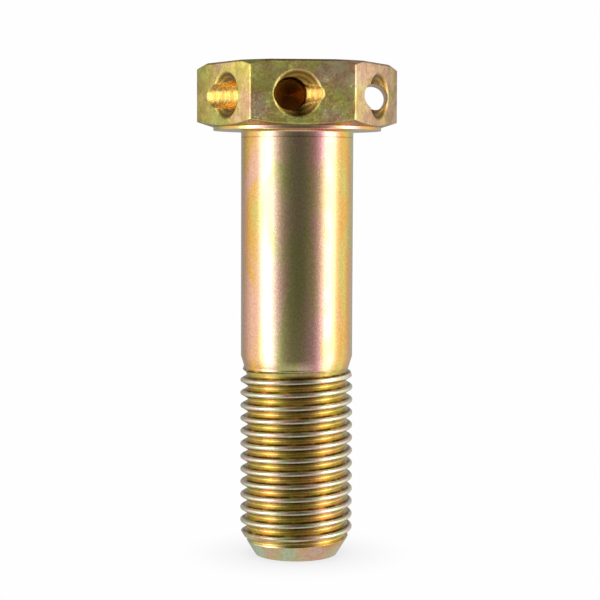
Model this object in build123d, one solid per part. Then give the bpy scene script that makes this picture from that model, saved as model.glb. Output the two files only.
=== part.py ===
from build123d import *
import math
import os

os.makedirs("parts", exist_ok=True)

# Hexagon head bolt with wire holes drilled across three of the head's corners.
# The bolt stands on its threaded end: Z is its axis, Z = 0 is the end face,
# and one flat of the head faces -Y. Millimetres.

# Head
across_flats = 17.05
head_height = 6.4            # bearing face to top face
hex_edge_radius = 0.2        # rounding of the six upright edges
top_edge_radius = 0.16       # rounding of the flats' top edges
top_circle_dia = 17.8        # flat circle inside the turned top chamfer
top_chamfer_angle = 29.0     # from the top face
under_chamfer_angle = 18.0   # from the bearing face, under the six corners
washer_face_dia = 16.45
washer_face_height = 0.3
head_fillet = 0.28           # between bearing face and shank

# Shank
underhead_length = 41.9      # bearing face to end face
shank_dia = 11.0
grip_length = 22.1           # plain length under the head
neck_dia = 10.4              # where the taper off the shank meets the thread
taper_angle = 17.0           # of that taper, from the axis

# Thread: right-handed, one start, 60 degree flanks. Its crests are left sharp here
thread_dia = 11.11
thread_pitch = 1.27
thread_depth_ratio = 0.5774  # depth over pitch of this thread form
thread_turn = 297.0          # degrees round Z, where the crest meets the end face's plane
end_face_dia = 8.1
end_chamfer_angle = 32.0     # from the axis

# Wire holes, each through one corner, from one flat to the next
drilled_corners = 3
wire_hole_dia = 2.5
wire_hole_height = 3.2       # above the bearing face
near_mouth = 4.62            # from the corner, where the hole's axis crosses the first flat
far_mouth = 5.2              # from the corner, where it crosses the second
# Each mouth is sunk square to its flat with the point of a wide drill
sink_dia = 4.58
sink_shift = 0.5             # from the flat's middle towards the drilled corner
# The first flat's mouth also has a blind hole sunk into it
blind_hole_dia = 3.06
blind_hole_depth = 3.0       # of its straight wall, from the flat
blind_hole_shift = 1.14      # from the flat's middle towards the drilled corner
drill_point_angle = 118.0

# Worked out from the sizes above
apothem = across_flats / 2
corner_radius = apothem / math.cos(math.radians(30))
bearing_z = underhead_length
top_z = bearing_z + head_height
shank_end_z = bearing_z - grip_length
thread_radius = thread_dia / 2
root_radius = thread_radius - thread_depth_ratio * thread_pitch
hole_z = bearing_z + wire_hole_height
half_flat = corner_radius / 2

# Cutters and limits reach past the bolt by this
clear = 1.0
# The thread's foot is sunk this deep into the core, so that the two join
foot_sink = 0.08
# The fillet under the head is turned in this many straight steps
fillet_steps = 3


def tan(angle):
    return math.tan(math.radians(angle))


def turn_round(outline):
    """The solid that an outline of (radius, height) points sweeps round Z."""
    return revolve(make_face(Plane.XZ * Polyline(*outline)), Axis.Z)


def turned_blank():
    """The round form that all of the bolt is turned to, with the thread's core."""
    washer_r = washer_face_dia / 2
    washer_top = bearing_z + washer_face_height
    outside = corner_radius + clear
    top_r = top_circle_dia / 2
    shank_r = shank_dia / 2
    taper_end = shank_end_z - (shank_r - root_radius) / tan(taper_angle)
    outline = [(0, 0), (root_radius, 0), (root_radius, taper_end), (shank_r, shank_end_z)]
    for k in range(fillet_steps + 1):
        a = math.radians(90 * k / fillet_steps)
        outline.append((shank_r + head_fillet * (1 - math.cos(a)),
                        bearing_z - head_fillet * (1 - math.sin(a))))
    outline += [
        (washer_r, bearing_z),
        (washer_r, washer_top),
        (outside, washer_top + (outside - washer_r) * tan(under_chamfer_angle)),
        (outside, top_z - (outside - top_r) * tan(top_chamfer_angle)),
        (top_r, top_z),
        (0, top_z),
        (0, 0),
    ]
    return turn_round(outline)


def hexagon():
    """The hexagon bar that the head's flats belong to."""
    shape = RegularPolygon(apothem, 6, major_radius=False)
    shape = fillet(shape.vertices(), hex_edge_radius)
    bar = extrude(shape, top_z)
    top_edges = bar.edges().group_by(Axis.Z)[-1]
    return fillet(top_edges, top_edge_radius)


def turn_of_helix(radius, z):
    return Edge.make_helix(thread_pitch, thread_pitch, radius, center=(0, 0, z))


def thread_ridge(bottom_z, turns):
    """The thread's ridge, turn by turn, with its foot sunk into the core."""
    foot = root_radius - foot_sink
    foot_half = (thread_radius - foot) * tan(30)
    section = [(foot, -foot_half), (thread_radius, 0), (foot, foot_half)]
    faces = []
    for turn in range(turns):
        z = bottom_z + turn * thread_pitch
        for (r1, h1), (r2, h2) in zip(section, section[1:] + section[:1]):
            faces.append(Face.make_surface_from_curves(
                turn_of_helix(r1, z + h1), turn_of_helix(r2, z + h2)))
    for z in (bottom_z, bottom_z + turns * thread_pitch):
        corners = [(r, 0, z + h) for r, h in section]
        faces.append(Face(Wire.make_polygon(corners, close=True)))
    return Solid(Shell(faces))


def run_out_limit(bottom):
    """The space the thread may fill: it narrows up to the neck and past it."""
    neck_r = neck_dia / 2
    outside = thread_radius + clear
    inside = root_radius - 2 * foot_sink
    neck_z = shank_end_z - (shank_dia / 2 - neck_r) / tan(taper_angle)
    low_z = neck_z - (outside - neck_r) / tan(taper_angle)
    high_z = neck_z + (neck_r - inside) / tan(taper_angle)
    return turn_round([(0, bottom), (outside, bottom), (outside, low_z), (inside, high_z),
                       (0, high_z), (0, bottom)])


def end_limit():
    """Everything above the end face and inside the chamfer at the end."""
    end_r = end_face_dia / 2
    outside = corner_radius + clear
    above = top_z + clear
    return turn_round([(0, 0), (end_r, 0), (outside, (outside - end_r) / tan(end_chamfer_angle)),
                       (outside, above), (0, above), (0, 0)])


def threaded_body():
    # whole turns below the end face keep the crest at its angle there
    below = 2
    turns = math.ceil(shank_end_z / thread_pitch) + 1 + below
    bottom = -below * thread_pitch
    ridge = Rot(0, 0, thread_turn) * thread_ridge(bottom, turns)
    ridge = ridge & run_out_limit(bottom - clear)
    body = turned_blank() & hexagon()
    body = body + ridge
    return body & end_limit()


def on_flat(flat_angle, shift):
    """Plane on a flat, facing out, its origin shifted anticlockwise from the flat's middle."""
    a = math.radians(flat_angle)
    out = Vector(math.cos(a), math.sin(a), 0)
    along = Vector(-math.sin(a), math.cos(a), 0)
    origin = out * apothem + along * shift + Vector(0, 0, hole_z)
    return Plane(origin=origin, x_dir=along, z_dir=out)


def sink():
    """Cutter with a drill's point: sink_dia wide at Z = 0."""
    slope = tan(drill_point_angle / 2)
    r = sink_dia / 2
    return turn_round([(0, clear), (r + clear * slope, clear), (0, -r / slope), (0, clear)])


def blind_hole():
    r = blind_hole_dia / 2
    point = -blind_hole_depth - r / tan(drill_point_angle / 2)
    return turn_round([(0, clear), (r, clear), (r, -blind_hole_depth), (0, point), (0, clear)])


def wire_hole(first_flat, second_flat):
    """Cutter for a hole from one flat to the next, past the corner between them."""
    start = on_flat(first_flat, near_mouth - half_flat).origin
    end = on_flat(second_flat, half_flat - far_mouth).origin
    middle = Plane(origin=(start + end) / 2, z_dir=end - start)
    return middle.location * Cylinder(wire_hole_dia / 2, 2 * corner_radius)


def head_cutters():
    cutters = []
    for k in range(drilled_corners):
        corner = k * 360 / drilled_corners
        first_flat = corner + 30
        second_flat = corner - 30
        cutters.append(on_flat(first_flat, -sink_shift).location * sink())
        cutters.append(on_flat(second_flat, sink_shift).location * sink())
        cutters.append(on_flat(first_flat, -blind_hole_shift).location * blind_hole())
        cutters.append(wire_hole(first_flat, second_flat))
    return cutters


def make_bolt():
    body = threaded_body()
    for cutter in head_cutters():
        body = body - cutter
    return body


bolt = make_bolt()
bolt.label = "bolt"
export_step(bolt, "parts/bolt.step")
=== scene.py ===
"""Looks of the drilled-head bolt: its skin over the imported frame, its finish, the studio and the camera."""

import math
from types import SimpleNamespace

import bmesh
import bpy
from mathutils import Matrix, Vector

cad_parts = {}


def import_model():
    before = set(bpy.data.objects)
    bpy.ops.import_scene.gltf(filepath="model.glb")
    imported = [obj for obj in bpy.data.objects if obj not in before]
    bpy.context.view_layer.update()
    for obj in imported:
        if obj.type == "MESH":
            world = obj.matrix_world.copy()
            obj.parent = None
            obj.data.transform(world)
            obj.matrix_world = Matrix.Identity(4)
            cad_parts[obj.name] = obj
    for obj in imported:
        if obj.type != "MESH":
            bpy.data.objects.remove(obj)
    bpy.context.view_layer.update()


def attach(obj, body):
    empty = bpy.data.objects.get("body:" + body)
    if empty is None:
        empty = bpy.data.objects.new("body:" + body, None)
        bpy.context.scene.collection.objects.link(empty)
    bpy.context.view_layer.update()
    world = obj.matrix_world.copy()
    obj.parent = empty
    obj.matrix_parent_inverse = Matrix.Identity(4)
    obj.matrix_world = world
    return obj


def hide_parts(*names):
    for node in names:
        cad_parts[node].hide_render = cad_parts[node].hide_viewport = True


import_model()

# The bolt, in millimetres and degrees, in the frame's axes: Z is its axis and Z = 0 its end face.
# Head
across_flats = 17.05
head_height = 6.4
hex_edge_radius = 0.2
top_edge_radius = 0.16
top_circle_dia = 17.8
top_chamfer_angle = 29.0     # from the top face
under_chamfer_angle = 18.0   # from the bearing face
washer_face_dia = 16.45
washer_face_height = 0.3
head_fillet = 0.28
# Shank
underhead_length = 41.9
shank_dia = 11.0
grip_length = 22.1
neck_dia = 10.4
taper_angle = 17.0           # from the axis
# Thread
thread_dia = 11.11
thread_pitch = 1.27
thread_depth_ratio = 0.5774
thread_crest_ratio = 0.18    # rounding of the thread's crest over its pitch
thread_turn = 297.0          # round Z, where the crest passes the end face
end_face_dia = 8.1
end_chamfer_angle = 32.0     # from the axis
# Wire holes, each through one corner, from one flat to the next
drilled_corners = 3
wire_hole_dia = 2.5
wire_hole_height = 3.2       # above the bearing face
near_mouth = 4.62            # from the corner, where the hole's axis crosses the first flat
far_mouth = 5.2              # from the corner, where it crosses the second
sink_dia = 4.58
sink_shift = 0.5             # from the flat's middle towards the drilled corner
blind_hole_dia = 3.06
blind_hole_depth = 3.0
blind_hole_shift = 1.14      # from the flat's middle towards the drilled corner
drill_point_angle = 118.0

# Worked out from the sizes above
apothem = across_flats / 2
corner_radius = apothem / math.cos(math.radians(30))
bearing_z = underhead_length
top_z = bearing_z + head_height
shank_end_z = bearing_z - grip_length
shank_r = shank_dia / 2
thread_r = thread_dia / 2
root_r = thread_r - thread_depth_ratio * thread_pitch
neck_r = neck_dia / 2
hole_z = bearing_z + wire_hole_height
half_flat = corner_radius / 2

# Cutters and limits reach past the bolt by this
clear = 1.0
# The taper starts, and the thread ends, this far inside the thread's root
taper_sink = 0.1
thread_sink = 0.3
# Turns of the thread's skin that are laid under the end face, and pressed flat there
turns_below = 2
# Points of the thread's skin that are nearer to each other than this are one
merge_distance = 0.0005
# Drills are this blunt at the point
blunt_r = 0.01

# How finely round forms are cut
ROUND = 192
THREAD_ROUND = 144
HOLE_ROUND = 96
ARC = 6
CREST_ARC = 5
ROOT_ARC = 4
# Edges that turn by more than this, in degrees, stay sharp
SHARP_ANGLE = 24

MM = 0.001                   # a millimetre in the scene's unit


def tan(angle):
    return math.tan(math.radians(angle))


def arc(centre, radius, start, end, steps=ARC):
    """Points of an arc from angle start to angle end, in degrees."""
    points = []
    for k in range(steps + 1):
        a = math.radians(start + (end - start) * k / steps)
        points.append((centre[0] + radius * math.cos(a), centre[1] + radius * math.sin(a)))
    return points


def new_object(name, bm):
    """An object in metres from a mesh built in millimetres."""
    bmesh.ops.recalc_face_normals(bm, faces=bm.faces)
    mesh = bpy.data.meshes.new(name)
    bm.transform(Matrix.Scale(MM, 4))
    bm.to_mesh(mesh)
    bm.free()
    obj = bpy.data.objects.new(name, mesh)
    bpy.context.scene.collection.objects.link(obj)
    return obj


def loft(name, rings):
    """A closed solid through rings of points, each with as many points as the last."""
    bm = bmesh.new()
    loops = [[bm.verts.new(point) for point in ring] for ring in rings]
    for low, high in zip(loops, loops[1:]):
        for k in range(len(low)):
            n = (k + 1) % len(low)
            bm.faces.new((low[k], low[n], high[n], high[k]))
    bm.faces.new(loops[0])
    bm.faces.new(loops[-1])
    return new_object(name, bm)


def circle(radius, z, count):
    ring = []
    for k in range(count):
        a = 2 * math.pi * k / count
        ring.append((radius * math.cos(a), radius * math.sin(a), z))
    return ring


def turned(name, outline, count=ROUND):
    """A solid of revolution about Z. outline is (radius, z) from one end to the other."""
    return loft(name, [circle(r, z, count) for r, z in outline])


def hexagon_ring(inset, z):
    """The head's outline with rounded corners, set in from its flats."""
    radius = hex_edge_radius - inset
    centre = (apothem - hex_edge_radius) / math.cos(math.radians(30))
    ring = []
    for k in range(6):
        corner = 60 * k
        x = centre * math.cos(math.radians(corner))
        y = centre * math.sin(math.radians(corner))
        ring += [(px, py, z) for px, py in arc((x, y), radius, corner - 30, corner + 30)]
    return ring


def hexagon_bar():
    """The hexagon that the flats belong to, its top edges rounded."""
    rings = [hexagon_ring(0, -clear)]
    for r, z in arc((0, top_z - top_edge_radius), top_edge_radius, 0, 90):
        rings.append(hexagon_ring(top_edge_radius - r, z))
    return loft("bar", rings)


def neck_z():
    return shank_end_z - (shank_r - neck_r) / tan(taper_angle)


def turned_blank():
    """Head, shank and taper as turned. It starts inside the thread."""
    inside = root_r - taper_sink
    washer_r = washer_face_dia / 2
    washer_top = bearing_z + washer_face_height
    outside = corner_radius + clear
    top_circle_r = top_circle_dia / 2
    outline = [(inside, neck_z() - (neck_r - inside) / tan(taper_angle)),
               (shank_r, shank_end_z)]
    outline += arc((shank_r + head_fillet, bearing_z - head_fillet), head_fillet, 180, 90)
    outline += [(washer_r, bearing_z),
                (washer_r, washer_top),
                (outside, washer_top + (outside - washer_r) * tan(under_chamfer_angle)),
                (outside, top_z - (outside - top_circle_r) * tan(top_chamfer_angle)),
                (top_circle_r, top_z)]
    return turned("bolt", outline)


def thread_section():
    """One pitch of the thread from crest to crest: (radius, height above the crest)."""
    crest_arc = thread_crest_ratio * thread_pitch
    # both roundings together fill what the 60 degree flanks leave of the pitch
    both_arcs = (1 - 2 * thread_depth_ratio * tan(30)) / (2 * math.sin(math.radians(60)) - tan(30))
    root_arc = both_arcs * thread_pitch - crest_arc
    half = arc((thread_r - crest_arc, 0), crest_arc, 0, 60, CREST_ARC)
    foot = arc((root_r + root_arc, thread_pitch / 2), root_arc, 240, 180, ROOT_ARC)
    middle = ((half[-1][0] + foot[0][0]) / 2, (half[-1][1] + foot[0][1]) / 2)
    half += [middle] + foot
    other = [(r, thread_pitch - h) for r, h in half[1:-1]]
    return half + other[::-1]


def thread_column(bm, section, turns, turn):
    """The skin's points up one side of the thread, kept inside the end's chamfer and the taper."""
    rows = len(section)
    inside = root_r - thread_sink
    top = neck_z() + (neck_r - inside) / tan(taper_angle)
    a = 2 * math.pi * turn + math.radians(thread_turn)
    column = []
    for row in range(rows * turns):
        r, h = section[row % rows]
        z = h + (row // rows - turns_below + turn) * thread_pitch
        z = min(max(z, 0.0), top)
        r = min(r, end_face_dia / 2 + z * tan(end_chamfer_angle))
        r = min(r, inside + (top - z) * tan(taper_angle))
        column.append(bm.verts.new((r * math.cos(a), r * math.sin(a), z)))
    return column


def thread_tube():
    """The thread as one skin whose rows of points follow the helix. It ends inside the taper."""
    section = thread_section()
    rows = len(section)
    turns = math.ceil(shank_end_z / thread_pitch) + 1 + turns_below
    bm = bmesh.new()
    columns = [thread_column(bm, section, turns, c / THREAD_ROUND) for c in range(THREAD_ROUND)]
    for c, left in enumerate(columns):
        # the last column joins the first one a turn further up
        step = rows if c == THREAD_ROUND - 1 else 0
        right = columns[(c + 1) % THREAD_ROUND]
        for row in range(rows * turns - 1):
            if row + step + 1 < len(right):
                bm.faces.new((left[row], right[row + step], right[row + step + 1], left[row + 1]))
    bmesh.ops.remove_doubles(bm, verts=bm.verts, dist=merge_distance)
    bmesh.ops.dissolve_degenerate(bm, edges=bm.edges, dist=merge_distance)
    open_edges = [e for e in bm.edges if e.is_boundary]
    bmesh.ops.holes_fill(bm, edges=open_edges, sides=0)
    return new_object("thread", bm)


def combine(obj, other, operation):
    """Boolean of obj with other, which is used up."""
    modifier = obj.modifiers.new("combine", "BOOLEAN")
    modifier.operation = operation
    modifier.object = other
    modifier.solver = "MANIFOLD"
    graph = bpy.context.evaluated_depsgraph_get()
    result = bpy.data.meshes.new_from_object(obj.evaluated_get(graph))
    obj.modifiers.clear()
    obj.data = result
    bpy.data.objects.remove(other)


def on_flat(flat_angle, shift):
    """Point on a flat at the wire holes' height, shifted anticlockwise from the flat's middle."""
    a = math.radians(flat_angle)
    x = apothem * math.cos(a) - shift * math.sin(a)
    y = apothem * math.sin(a) + shift * math.cos(a)
    return Vector((x, y, hole_z))


def wire_hole_ends(corner):
    """Where the axis of a corner's wire hole crosses the flats on either side of the corner."""
    start = on_flat(corner + 30, near_mouth - half_flat)
    end = on_flat(corner - 30, half_flat - far_mouth)
    return start, end


def cut_along(obj, cutter, origin, direction):
    """Cut with a cutter built along Z, laid with its Z along a level direction."""
    lie = direction.to_track_quat("Z", "Y").to_matrix().to_4x4()
    cutter.data.transform(Matrix.Translation(origin * MM) @ lie)
    combine(obj, cutter, "DIFFERENCE")


def sink():
    """A drill's point, sink_dia wide at Z = 0."""
    r = sink_dia / 2
    slope = tan(drill_point_angle / 2)
    return turned("sink", [(r + clear * slope, clear), (blunt_r, -r / slope)], HOLE_ROUND)


def blind_hole():
    r = blind_hole_dia / 2
    point = -blind_hole_depth - r / tan(drill_point_angle / 2)
    return turned("blind", [(r, clear), (r, -blind_hole_depth), (blunt_r, point)], HOLE_ROUND)


def wire_hole():
    r = wire_hole_dia / 2
    return turned("drill", [(r, -corner_radius), (r, corner_radius)], HOLE_ROUND)


def cut_wire_holes(obj):
    """The three wire holes with their sinks. Each first flat also gets a blind hole."""
    for k in range(drilled_corners):
        corner = 360 / drilled_corners * k
        for side, build, shift in ((1, sink, sink_shift), (1, blind_hole, blind_hole_shift),
                                   (-1, sink, sink_shift)):
            flat = corner + 30 * side
            out = Vector((math.cos(math.radians(flat)), math.sin(math.radians(flat)), 0))
            cut_along(obj, build(), on_flat(flat, -side * shift), out)
        start, end = wire_hole_ends(corner)
        cut_along(obj, wire_hole(), (start + end) / 2, end - start)


def bolt_skin():
    obj = turned_blank()
    combine(obj, hexagon_bar(), "INTERSECT")
    cut_wire_holes(obj)
    combine(obj, thread_tube(), "UNION")
    obj.data.shade_smooth()
    obj.data.set_sharp_from_angle(angle=math.radians(SHARP_ANGLE))
    return obj


# Finish: the yellow film on the steel, with painted light and shade in places, and how rough it is. A colour
# is the share of red, green and blue light that is thrown back.
# The film by the angle it is seen at: 0 is straight on, 1 along the surface
film = [(0.0, (0.82, 0.67, 0.34)), (0.032, (0.88, 0.59, 0.35)), (0.08, (0.90, 0.64, 0.46)),
        (0.155, (0.94, 0.70, 0.50)), (0.27, (0.92, 0.60, 0.28)), (0.40, (0.92, 0.50, 0.11)),
        (0.60, (0.90, 0.48, 0.10)), (0.85, (0.70, 0.60, 0.30))]
film_pink = (0.92, 0.52, 0.44)
film_green = (0.66, 0.68, 0.20)
film_streak = (1.0, 0.74, 0.92)
film_crest_pink = (1.0, 0.76, 0.60)
film_crest_green = (0.86, 0.88, 0.58)
# The grooves' flanks: painted shade where they face down, painted light where they face up
groove_painted_shade = (0.68, 0.54, 0.12)
groove_painted_light = (0.90, 0.62, 0.32)
film_groove_olive = (0.66, 0.58, 0.16)
# A dark brown: painted shade in the thread's lines and along the flats' top edges, and the faint step under
# the head
dark_line_and_painted_shade = (0.14, 0.08, 0.02)
# Painted shade inside the sinks and blind holes
hole_painted_shade = (0.38, 0.23, 0.05)
film_bore = (0.80, 0.49, 0.12)
# Tints on the head's flats and on the end's chamfer, by the value of a slow noise
film_flat = [(0.36, (0.70, 0.74, 0.18)), (0.45, (0.94, 0.82, 0.20)), (0.53, (1.0, 0.74, 0.30)),
             (0.61, (1.0, 0.64, 0.42))]
film_end = [(0.38, (0.70, 0.82, 0.56)), (0.48, (0.86, 0.70, 0.36)), (0.56, (1.0, 0.66, 0.52)),
            (0.64, (0.90, 0.56, 0.20))]
tint_drift = 0.013           # of the flats' tints, per mm along X, towards pink

# Pairs of shades that a colour is multiplied by, dark and light
stain_shades = ((0.70, 0.66, 0.58), (1.15, 1.15, 1.12))
ring_shades = ((0.70, 0.64, 0.55), (1.2, 1.2, 1.2))
drill_mark_shades = ((0.75, 0.68, 0.66), (1.1, 1.1, 1.1))
grain_shades = ((0.45, 0.45, 0.45), (1.25, 1.25, 1.25))
past_rings_shade = (1.0, 0.9, 0.8)

# Noises over the skin: (scale per mm, detail, roughness, distortion)
patch_noise = (0.34, 4, 0.5, 0.8)
flat_tint_noise = (0.24, 3, 0.55, 0.2)
stain_noise = (0.8, 8, 0.8, 0.3)
speck_noise = (2.6, 8, 0.85, 0.3)
worn_area_noise = (0.45, 3, 0.6, 0.6)
ragged_noise = (4.0, 2, 0.6, 0.0)
end_tint_noise = (0.30, 2, 0.5, 0.4)
crest_tint_noise = (0.9, 2, 0.5, 0.0)
olive_noise = (0.5, 3, 0.6, 0.5)
shade_line_noise = (0.7, 4, 0.6, 0.5)
drill_mark_noise = (1.0, 2, 0.5, 0.0)
grain_noise = (4.0, 6, 0.75, 0.0)
fine_grain_noise = (8.0, 2, 0.6, 0.0)

# The values of these noises between which what they stand for goes from nothing to full
pink_range = (0.50, 0.66)
green_range = (0.48, 0.34)
stain_range = (0.42, 0.60)
speck_range = (0.48, 0.60)
worn_area_range = (0.40, 0.56)
crest_tint_range = (0.40, 0.60)
olive_range = (0.60, 0.44)
shade_line_range = (0.30, 0.55)
drill_mark_range = (0.40, 0.60)
grain_range = (0.36, 0.64)

# The patches are drawn out along the axis, and the drill's marks in the wire holes too
patch_stretch = (1.0, 1.0, 0.3)
drill_mark_stretch = (5.0, 5.0, 0.15)

# Shares of the full effect
patch_share = 0.7
flat_tint_share = 0.75
stain_share = 0.8
step_share = 0.4
top_shade_share = 0.6
end_tint_share = 0.85
groove_share = 0.8
crest_share = 0.95

# Where each finish begins, in mm: from nothing at the first distance to full at the second
head_from = (0.25, 0.35)     # above the bearing face
thread_from = (1.0, 1.4)     # under the shank's end
worn_from = (0.2, 0.05)      # inside the two flats that face along Y
hole_from = (0.01, 0.14)     # inside the flats
hole_under = (0.3, 0.6)      # under the top face
bore_from = (0.10, 0.04)     # off the wire hole's wall
end_from = (0.10, 0.03)      # under the end's chamfer
# Depths in the thread, from its crest: the pale crest ends, a dark line of painted shade ends
crest_depth = 0.20
shade_line_depth = 0.50
ragged_depth = 0.12          # how far the noise moves those depths
crest_fade = (0.10, 0.02)    # past crest_depth
shade_line_fade = (0.06, -0.08)    # past shade_line_depth
# Between these heights of the normal the grooves go from painted shade to painted light
groove_slopes = (-0.1, 0.5)  # heights of the surface's normal that face down and up
# A faint orange step round the shank, this far under the bearing face
step_depth = 0.68
step_half_width = (0.10, 0.03)
# A dark band of painted shade along the flats' top edges: how far down it begins, and how deep inside the
# flats it ends
top_painted_shade = 0.22
top_painted_shade_fade = 0.06
top_painted_shade_depth = (0.20, 0.12)
# Painted shade and light on the head: darker towards its +X and -X corners, lighter nearer the middle: (x,
# share of light), at the corners and nearer the middle
corner_painted_shade = (9.5, 0.60)
middle_painted_light = (4.9, 1.26)
# Direction, in degrees round Z, of a pink streak along the shank, and half its width
streak_angle = -66.0
streak_half_width = 19.0
# How much the grain shows in the colour: on the shank and thread, and on the head
shank_grain = 0.30
head_grain = 0.32
# Distance between the drill's rings in the sinks, how deep they show and how they fade
ring_step = 0.26
ringed_depth = 1.1
ring_fade = 0.2

shank_roughness = 0.20
head_roughness = 0.34
groove_roughness = 0.32
crest_roughness = 0.30
hole_roughness = 0.24
worn_roughness = 0.85
worn_everywhere = 0.22       # share of that wear between the specks
# Height of the grain, in metres, its strength on the shank and on the head, and its finer share
grain_height = 0.00003
shank_bump = 0.22
head_bump = 1.0
fine_share = 0.7
# Sharp edges look this round, in metres: on the shank and thread, and on the head
shank_edge = 0.00005
head_edge = 0.00018
edge_samples = 8


class Graph:
    """An emptied node tree, and short ways to add the nodes that the looks are made of."""

    def __init__(self, tree):
        tree.nodes.clear()
        self.nodes = tree.nodes
        self.links = tree.links

    def add(self, kind, **settings):
        node = self.nodes.new(kind)
        for key, value in settings.items():
            setattr(node, key, value)
        return node

    def put(self, socket, value):
        """Feed a socket from another node's output, or set it to a number, a vector or a colour."""
        if isinstance(value, bpy.types.NodeSocket):
            self.links.new(value, socket)
        elif socket.type == "RGBA":
            socket.default_value = (*value, 1)
        else:
            socket.default_value = value

    def put_all(self, node, *values):
        for socket, value in zip(node.inputs, values):
            self.put(socket, value)

    def calculate(self, operation, *values):
        node = self.add("ShaderNodeMath", operation=operation)
        self.put_all(node, *values)
        return node.outputs["Value"]

    def product(self, first, *others):
        for other in others:
            first = self.calculate("MULTIPLY", first, other)
        return first

    def of_vectors(self, operation, *vectors):
        """The result of vector maths: a number for LENGTH and DOT_PRODUCT, else a vector."""
        node = self.add("ShaderNodeVectorMath", operation=operation)
        self.put_all(node, *vectors)
        is_number = operation in ("LENGTH", "DOT_PRODUCT")
        return node.outputs["Value" if is_number else "Vector"]

    def split(self, vector):
        node = self.add("ShaderNodeSeparateXYZ")
        self.put(node.inputs["Vector"], vector)
        return node.outputs["X"], node.outputs["Y"], node.outputs["Z"]

    def scaled(self, vector, factors):
        node = self.add("ShaderNodeMapping")
        self.put(node.inputs["Scale"], factors)
        self.put(node.inputs["Vector"], vector)
        return node.outputs["Vector"]

    def between(self, value, low, high):
        """0 to 1, smoothly, as value goes from low to high."""
        node = self.add("ShaderNodeMapRange", interpolation_type="SMOOTHSTEP")
        self.put(node.inputs["From Min"], low)
        self.put(node.inputs["From Max"], high)
        self.put(node.inputs["Value"], value)
        return node.outputs["Result"]

    def remap(self, value, at_low, at_high, low=0.0, high=1.0):
        """at_low to at_high, evenly, as value goes from low to high."""
        node = self.add("ShaderNodeMapRange")
        self.put(node.inputs["From Min"], low)
        self.put(node.inputs["From Max"], high)
        self.put(node.inputs["To Min"], at_low)
        self.put(node.inputs["To Max"], at_high)
        self.put(node.inputs["Value"], value)
        return node.outputs["Result"]

    def blend(self, share, first, second, mode="MIX"):
        node = self.add("ShaderNodeMixRGB", blend_type=mode)
        self.put_all(node, share, first, second)
        return node.outputs["Color"]

    def multiplied(self, first, second, share=1.0):
        return self.blend(share, first, second, "MULTIPLY")

    def noise(self, vector, scale, detail, roughness, distortion):
        node = self.add("ShaderNodeTexNoise")
        self.put(node.inputs["Scale"], scale)
        self.put(node.inputs["Detail"], detail)
        self.put(node.inputs["Roughness"], roughness)
        self.put(node.inputs["Distortion"], distortion)
        self.put(node.inputs["Vector"], vector)
        return node.outputs["Fac"]

    def ramp(self, value, stops):
        """The colour for value, where stops is (position, colour) in order."""
        node = self.add("ShaderNodeValToRGB")
        elements = node.color_ramp.elements
        while len(elements) > 1:
            elements.remove(elements[-1])
        position, colour = stops[0]
        elements[0].position = position
        elements[0].color = (*colour, 1)
        for position, colour in stops[1:]:
            elements.new(position).color = (*colour, 1)
        self.put(node.inputs["Fac"], value)
        return node.outputs["Color"]


def inside_flats(g, x, y):
    """How far, in mm, a point lies inside the nearest of the head's flats."""
    farthest = None
    for k in range(3):
        a = math.radians(30 + 60 * k)
        along = g.calculate("MULTIPLY_ADD", x, math.cos(a), g.product(y, math.sin(a)))
        away = g.calculate("ABSOLUTE", along)
        farthest = away if farthest is None else g.calculate("MAXIMUM", farthest, away)
    return g.calculate("SUBTRACT", apothem, farthest)


def off_bore(g, mm):
    """How far, in mm, a point lies off the wall of the nearest wire hole."""
    nearest = None
    for k in range(drilled_corners):
        start, end = wire_hole_ends(360 / drilled_corners * k)
        from_start = g.of_vectors("SUBTRACT", mm, start)
        across = g.of_vectors("CROSS_PRODUCT", from_start, (end - start).normalized())
        off_wall = g.calculate("SUBTRACT", g.of_vectors("LENGTH", across), wire_hole_dia / 2)
        wall = g.calculate("ABSOLUTE", off_wall)
        nearest = wall if nearest is None else g.calculate("MINIMUM", nearest, wall)
    return nearest


def place_on_bolt(g):
    """Where a point of the skin lies, in mm, and whether that is on the head or the thread."""
    at = SimpleNamespace()
    at.mm = g.scaled(g.add("ShaderNodeTexCoord").outputs["Object"], (1 / MM, 1 / MM, 1 / MM))
    at.x, at.y, at.z = g.split(at.mm)
    level = g.add("ShaderNodeCombineXYZ")
    g.put_all(level, at.x, at.y)
    at.level = level.outputs["Vector"]
    at.radius = g.of_vectors("LENGTH", at.level)
    at.inside = inside_flats(g, at.x, at.y)
    at.on_head = g.between(at.z, bearing_z + head_from[0], bearing_z + head_from[1])
    at.on_thread = g.between(at.z, shank_end_z - thread_from[0], shank_end_z - thread_from[1])
    return at


def film_colour(g, at):
    """The film: its colour turns with the angle it is seen at, and has patches of pink and green."""
    facing = g.add("ShaderNodeLayerWeight")
    g.put(facing.inputs["Blend"], 0.5)
    colour = g.ramp(facing.outputs["Facing"], film)
    patches = g.noise(g.scaled(at.mm, patch_stretch), *patch_noise)
    pink = g.between(patches, *pink_range)
    green = g.between(patches, *green_range)
    colour = g.blend(g.product(pink, patch_share), colour, film_pink)
    return g.blend(g.product(green, patch_share), colour, film_green)


def add_streak(g, at, colour):
    """A pink streak along one side of the shank and thread."""
    a = math.radians(streak_angle)
    toward = g.of_vectors("DOT_PRODUCT", at.level, (math.cos(a), math.sin(a), 0))
    streak = g.between(g.calculate("DIVIDE", toward, at.radius),
                       math.cos(math.radians(streak_half_width)),
                       math.cos(math.radians(streak_half_width / 3)))
    below_head = g.between(at.on_head, 1.0, 0.0)
    return g.multiplied(colour, film_streak, g.product(streak, below_head))


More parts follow.
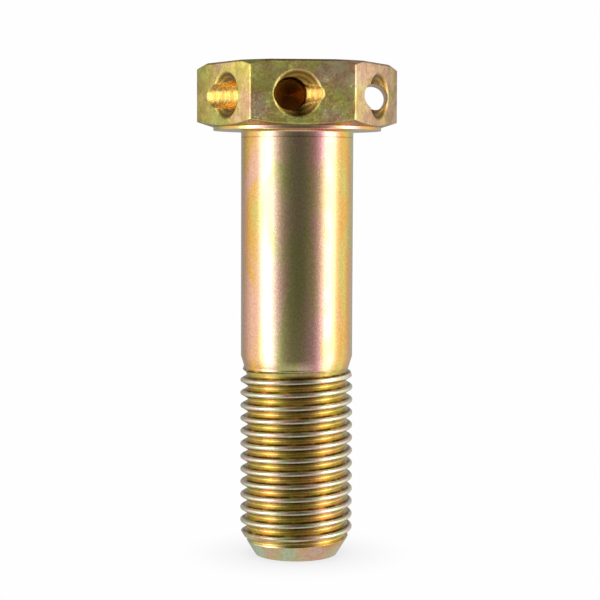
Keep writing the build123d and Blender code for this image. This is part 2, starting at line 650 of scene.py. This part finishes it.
def tint_and_shade_flats(g, at, colour):
    """Slow tints, finer stains, and painted shade towards two corners with painted light between them, on the
    head.
    """
    slow = g.noise(at.mm, *flat_tint_noise)
    tint = g.ramp(g.calculate("MULTIPLY_ADD", at.x, tint_drift, slow), film_flat)
    colour = g.blend(g.product(at.on_head, flat_tint_share), colour, tint)
    stains = g.between(g.noise(at.mm, *stain_noise), *stain_range)
    stained = g.blend(stains, *stain_shades)
    colour = g.multiplied(colour, stained, g.product(at.on_head, stain_share))
    # Painted shade towards the +X and -X corners, painted light nearer the middle
    off_middle = g.calculate("ABSOLUTE", at.x)
    light = g.remap(off_middle, middle_painted_light[1], corner_painted_shade[1], middle_painted_light[0], corner_painted_shade[0])
    return g.multiplied(colour, light, at.on_head)


def worn_mask(g, at):
    """Rough worn specks on the head's flats that face along Y."""
    facing_y = g.calculate("ABSOLUTE", at.y)
    on_flats = g.between(facing_y, apothem - worn_from[0], apothem - worn_from[1])
    specks = g.between(g.noise(at.mm, *speck_noise), *speck_range)
    area = g.between(g.noise(at.mm, *worn_area_noise), *worn_area_range)
    wear = g.remap(g.product(specks, area), worn_everywhere, 1.0)
    return g.product(on_flats, wear, at.on_head)


def add_step_and_top_shade(g, at, colour):
    """The faint step under the head, and a dark band of painted shade along the flats' top edges."""
    step_z = bearing_z - step_depth
    wide, narrow = step_half_width
    step = g.product(g.between(at.z, step_z - wide, step_z - narrow),
                     g.between(at.z, step_z + wide, step_z + narrow))
    colour = g.blend(g.product(step, step_share), colour, dark_line_and_painted_shade)
    # Painted shade along the flats' top edges
    top_shade_z = top_z - top_painted_shade
    band = g.product(g.between(at.z, top_shade_z, top_shade_z + top_painted_shade_fade),
                     g.between(at.inside, *top_painted_shade_depth))
    return g.blend(g.product(band, top_shade_share), colour, dark_line_and_painted_shade)


def thread_masks(g, at):
    """Where the end's chamfer, the thread's crests, its grooves and the dark line of painted shade between
    them are.
    """
    masks = SimpleNamespace()
    depth = g.calculate("SUBTRACT", thread_r, at.radius)
    ragged = g.calculate("MULTIPLY_ADD", g.noise(at.mm, *ragged_noise), ragged_depth, depth)
    cone = g.calculate("MULTIPLY_ADD", at.z, tan(end_chamfer_angle), end_face_dia / 2 - thread_r)
    under_cone = g.calculate("ADD", cone, depth)
    deep, shallow = end_from
    masks.end = g.product(at.on_thread, g.between(under_cone, deep, shallow))
    on_thread = g.product(at.on_thread, g.between(under_cone, shallow, deep))
    crest = g.between(ragged, crest_depth + crest_fade[0], crest_depth + crest_fade[1])
    line = g.between(ragged, shade_line_depth + shade_line_fade[0], shade_line_depth + shade_line_fade[1])
    masks.crest = g.product(on_thread, crest)
    masks.line = g.product(on_thread, line)
    masks.groove = g.product(on_thread, g.between(depth, crest_depth, shade_line_depth))
    return masks


def groove_tint(g, at):
    """Gold in the grooves, with painted shade where they face down and painted light where they face up, and
    uneven olive stretches.
    """
    normal = g.add("ShaderNodeNewGeometry").outputs["Normal"]
    rise = g.split(normal)[2]
    tint = g.blend(g.between(rise, *groove_slopes), groove_painted_shade, groove_painted_light)
    olive = g.between(g.noise(at.mm, *olive_noise), *olive_range)
    return g.blend(olive, tint, film_groove_olive)


def tint_thread(g, at, masks, colour):
    """The end's chamfer in slow tints, then gold grooves with painted shade and light, broken dark lines of
    painted shade beside them and pale crests.
    """
    end_tint = g.ramp(g.noise(at.mm, *end_tint_noise), film_end)
    colour = g.blend(g.product(masks.end, end_tint_share), colour, end_tint)
    colour = g.blend(g.product(masks.groove, groove_share), colour, groove_tint(g, at))
    # Broken dark lines of painted shade beside the grooves
    strength = g.between(g.noise(at.mm, *shade_line_noise), *shade_line_range)
    colour = g.blend(g.product(masks.line, strength), colour, dark_line_and_painted_shade)
    tints = g.between(g.noise(at.mm, *crest_tint_noise), *crest_tint_range)
    crest_tint = g.blend(tints, film_crest_pink, film_crest_green)
    return g.blend(g.product(masks.crest, crest_share), colour, crest_tint)


def hole_mask(g, at):
    """1 inside the head's sinks and holes, where the skin lies deeper than the flats."""
    under_flats = g.between(at.inside, *hole_from)
    under_top = g.between(at.z, top_z - hole_under[0], top_z - hole_under[1])
    return g.product(at.on_head, under_flats, under_top)


def tint_holes(g, at, hole, colour):
    """Painted shade with a drill's rings in the sinks and blind holes, clear gold in the wire holes."""
    waves = g.calculate("SINE", g.product(at.inside, 2 * math.pi / ring_step))
    ringed = g.blend(g.between(waves, -1.0, 1.0), *ring_shades)
    past_rings = g.between(at.inside, ringed_depth, ringed_depth + ring_fade)
    ringed = g.blend(past_rings, ringed, past_rings_shade)
    marks = g.noise(g.scaled(at.mm, drill_mark_stretch), *drill_mark_noise)
    marked = g.blend(g.between(marks, *drill_mark_range), *drill_mark_shades)
    bore = g.between(off_bore(g, at.mm), *bore_from)
    # Painted shade in the sinks and blind holes, gold on the wire holes' walls
    tint = g.blend(bore, g.multiplied(ringed, hole_painted_shade), g.multiplied(marked, film_bore))
    return g.blend(hole, colour, tint)


def roughness(g, at, masks, hole, worn):
    """From the shank to the head, then over that the grooves, crests, holes and worn specks."""
    value = g.remap(at.on_head, shank_roughness, head_roughness)
    value = g.remap(masks.groove, value, groove_roughness)
    value = g.remap(masks.crest, value, crest_roughness)
    value = g.remap(hole, value, hole_roughness)
    return g.remap(worn, value, worn_roughness)


def surface_normal(g, at, grain):
    """Rounded edges with a fine grain, both stronger on the head."""
    edge = g.add("ShaderNodeBevel", samples=edge_samples)
    g.put(edge.inputs["Radius"], g.remap(at.on_head, shank_edge, head_edge))
    bump = g.add("ShaderNodeBump")
    g.put(bump.inputs["Distance"], grain_height)
    g.put(bump.inputs["Strength"], g.remap(at.on_head, shank_bump, head_bump))
    fine = g.noise(at.mm, *fine_grain_noise)
    g.put(bump.inputs["Height"], g.blend(fine_share, grain, fine))
    g.put(bump.inputs["Normal"], edge.outputs["Normal"])
    return bump.outputs["Normal"]


def gold_chromate():
    """Steel under a yellow chromate film, worn, stained and grained, with painted light and shade in its
    grooves, holes and on its head.
    """
    material = bpy.data.materials.new("gold_chromate")
    material.use_nodes = True
    g = Graph(material.node_tree)
    at = place_on_bolt(g)
    masks = thread_masks(g, at)
    hole = hole_mask(g, at)
    grain = g.noise(at.mm, *grain_noise)

    colour = film_colour(g, at)
    colour = add_streak(g, at, colour)
    colour = tint_and_shade_flats(g, at, colour)
    colour = add_step_and_top_shade(g, at, colour)
    colour = tint_thread(g, at, masks, colour)
    colour = tint_holes(g, at, hole, colour)
    grain_shade = g.blend(g.between(grain, *grain_range), *grain_shades)
    colour = g.multiplied(colour, grain_shade, g.remap(at.on_head, shank_grain, head_grain))

    metal = g.add("ShaderNodeBsdfPrincipled")
    g.put(metal.inputs["Metallic"], 1.0)
    g.put(metal.inputs["Base Color"], colour)
    g.put(metal.inputs["Roughness"], roughness(g, at, masks, hole, worn_mask(g, at)))
    g.put(metal.inputs["Normal"], surface_normal(g, at, grain))
    surface = g.add("ShaderNodeOutputMaterial")
    g.put(surface.inputs["Surface"], metal.outputs["BSDF"])
    return material


# Camera. Lengths are in mm, angles in degrees.
camera_azimuth = -3.7
camera_distance = 163.0      # from the bolt's axis, level
camera_height = 36.84        # above the end face
camera_pitch = 4.06          # down
camera_aim_shift = 0.33      # to the right of the bolt's axis
camera_roll = 0.2
camera_lens = 99.2
camera_sensor = 36.0
camera_sees_from = 0.01      # metres
camera_sees_to = 10.0        # metres

# Studio: a round floor under the bolt, a far wider one just under it, and a ball of backdrop
floor_radius = 90.0
floor_points = 96
floor_drop = 0.00001         # under the end face, in metres
far_floor_half_width = 1500.0
far_floor_drop = 0.0002      # under the end face, in metres
backdrop_radius = 1400.0
backdrop_cuts = 3
floor_white = 0.991
contact_reach = 0.007        # of the soft shade round the bolt's foot, in metres
contact_shade = 0.25
contact_samples = 16

# Brightness of the studio round the bolt: (angle, value). The angles are seen from the bolt: 0 is towards
# the camera, positive to the image's right
studio = [(-180, 0.40), (-140, 0.42), (-124, 0.62), (-108, 0.98), (-94, 1.00), (-86, 1.1), (-78, 2.3),
          (-72, 3.3), (-62, 3.3), (-54, 2.2), (-46, 1.15), (-38, 0.62), (-28, 0.30), (-14, 0.15),
          (0, 0.11), (16, 0.12), (28, 0.22), (38, 0.33), (48, 0.70), (58, 1.8), (67, 3.3), (77, 3.6),
          (85, 2.2), (93, 1.1), (104, 0.98), (118, 1.02), (133, 0.66), (180, 0.40)]

# Height of a direction's Z against the share of that light it gets
falloff = [(-1.0, 1.0), (0.3, 1.0), (0.6, 0.5), (1.0, 0.15)]

# Below these heights of a direction's Z the pale floor glows instead
floor_from = -0.35
floor_full = -0.65
floor_glow = 0.55


def grey(value):
    return (value, value, value)


def direction_from_bolt(g):
    """A direction's turn round the bolt as a share of the circle, from behind, and its height."""
    turn = g.add("ShaderNodeVectorRotate", rotation_type="Z_AXIS")
    g.put(turn.inputs["Angle"], math.radians(-camera_azimuth))
    g.put(turn.inputs["Vector"], g.add("ShaderNodeTexCoord").outputs["Generated"])
    x, y, z = g.split(turn.outputs["Vector"])
    angle = g.calculate("ARCTAN2", x, g.product(y, -1))
    return g.remap(angle, 0.0, 1.0, -math.pi, math.pi), z


def world():
    """The studio's light, as the bolt mirrors it."""
    shade = bpy.data.worlds.new("studio")
    bpy.context.scene.world = shade
    shade.use_nodes = True
    g = Graph(shade.node_tree)
    share, height = direction_from_bolt(g)
    brightest = max(value for _, value in studio)
    around = g.ramp(share, [((a + 180) / 360, grey(v / brightest)) for a, v in studio])
    rise = g.remap(height, 0.0, 1.0, -1.0, 1.0)
    fade = g.ramp(rise, [((z + 1) / 2, grey(v)) for z, v in falloff])
    below = g.between(height, floor_from, floor_full)
    light = g.add("ShaderNodeBackground")
    g.put(light.inputs["Strength"], brightest)
    g.put(light.inputs["Color"], g.blend(below, g.multiplied(around, fade), grey(floor_glow / brightest)))
    surface = g.add("ShaderNodeOutputWorld")
    g.put(surface.inputs["Surface"], light.outputs["Background"])


def glow(name, contact=0.0):
    """A pale studio surface with its own light, shaded where the bolt is nearer than contact, in metres."""
    material = bpy.data.materials.new(name)
    material.use_nodes = True
    g = Graph(material.node_tree)
    own = g.add("ShaderNodeEmission")
    g.put(own.inputs["Strength"], floor_white)
    if contact:
        near = g.add("ShaderNodeAmbientOcclusion", samples=contact_samples)
        g.put(near.inputs["Distance"], contact)
        g.put(own.inputs["Color"], g.blend(contact_shade, grey(1.0), near.outputs["Color"]))
    surface = g.add("ShaderNodeOutputMaterial")
    g.put(surface.inputs["Surface"], own.outputs["Emission"])
    return material


def stage_set():
    """Floor and backdrop, which the camera sees and the bolt doesn't mirror."""
    bm = bmesh.new()
    bmesh.ops.create_circle(bm, cap_ends=True, radius=floor_radius, segments=floor_points)
    floor = new_object("floor", bm)
    floor.location.z = -floor_drop
    floor.data.materials.append(glow("floor_shade", contact_reach))
    bm = bmesh.new()
    bmesh.ops.create_grid(bm, size=far_floor_half_width)
    far = new_object("far_floor", bm)
    far.location.z = -far_floor_drop
    bm = bmesh.new()
    bmesh.ops.create_icosphere(bm, subdivisions=backdrop_cuts, radius=backdrop_radius)
    backdrop = new_object("backdrop", bm)
    white = glow("white")
    for plain in (far, backdrop):
        plain.data.materials.append(white)
    for plain in (floor, far, backdrop):
        plain.visible_glossy = False
        plain.visible_diffuse = False


def set_camera():
    data = bpy.data.cameras.new("camera")
    data.lens = camera_lens
    data.sensor_width = camera_sensor
    data.clip_start = camera_sees_from
    data.clip_end = camera_sees_to
    camera = bpy.data.objects.new("camera", data)
    bpy.context.scene.collection.objects.link(camera)
    a = math.radians(camera_azimuth)
    right = Vector((math.cos(a), math.sin(a), 0))
    back = Vector((math.sin(a), -math.cos(a), 0))
    up = Vector((0, 0, camera_height))
    camera.location = (back * camera_distance + right * camera_aim_shift + up) * MM
    turn = Matrix.Rotation(a, 3, "Z")
    tilt = Matrix.Rotation(math.radians(90 - camera_pitch), 3, "X")
    roll = Matrix.Rotation(math.radians(camera_roll), 3, "Z")
    camera.rotation_euler = (turn @ tilt @ roll).to_euler()
    bpy.context.scene.camera = camera


bolt = bolt_skin()
bolt.data.materials.clear()
bolt.data.materials.append(gold_chromate())
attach(bolt, "root")
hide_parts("bolt")
stage_set()
world()
set_camera()
bpy.context.scene.view_settings.view_transform = "Standard"
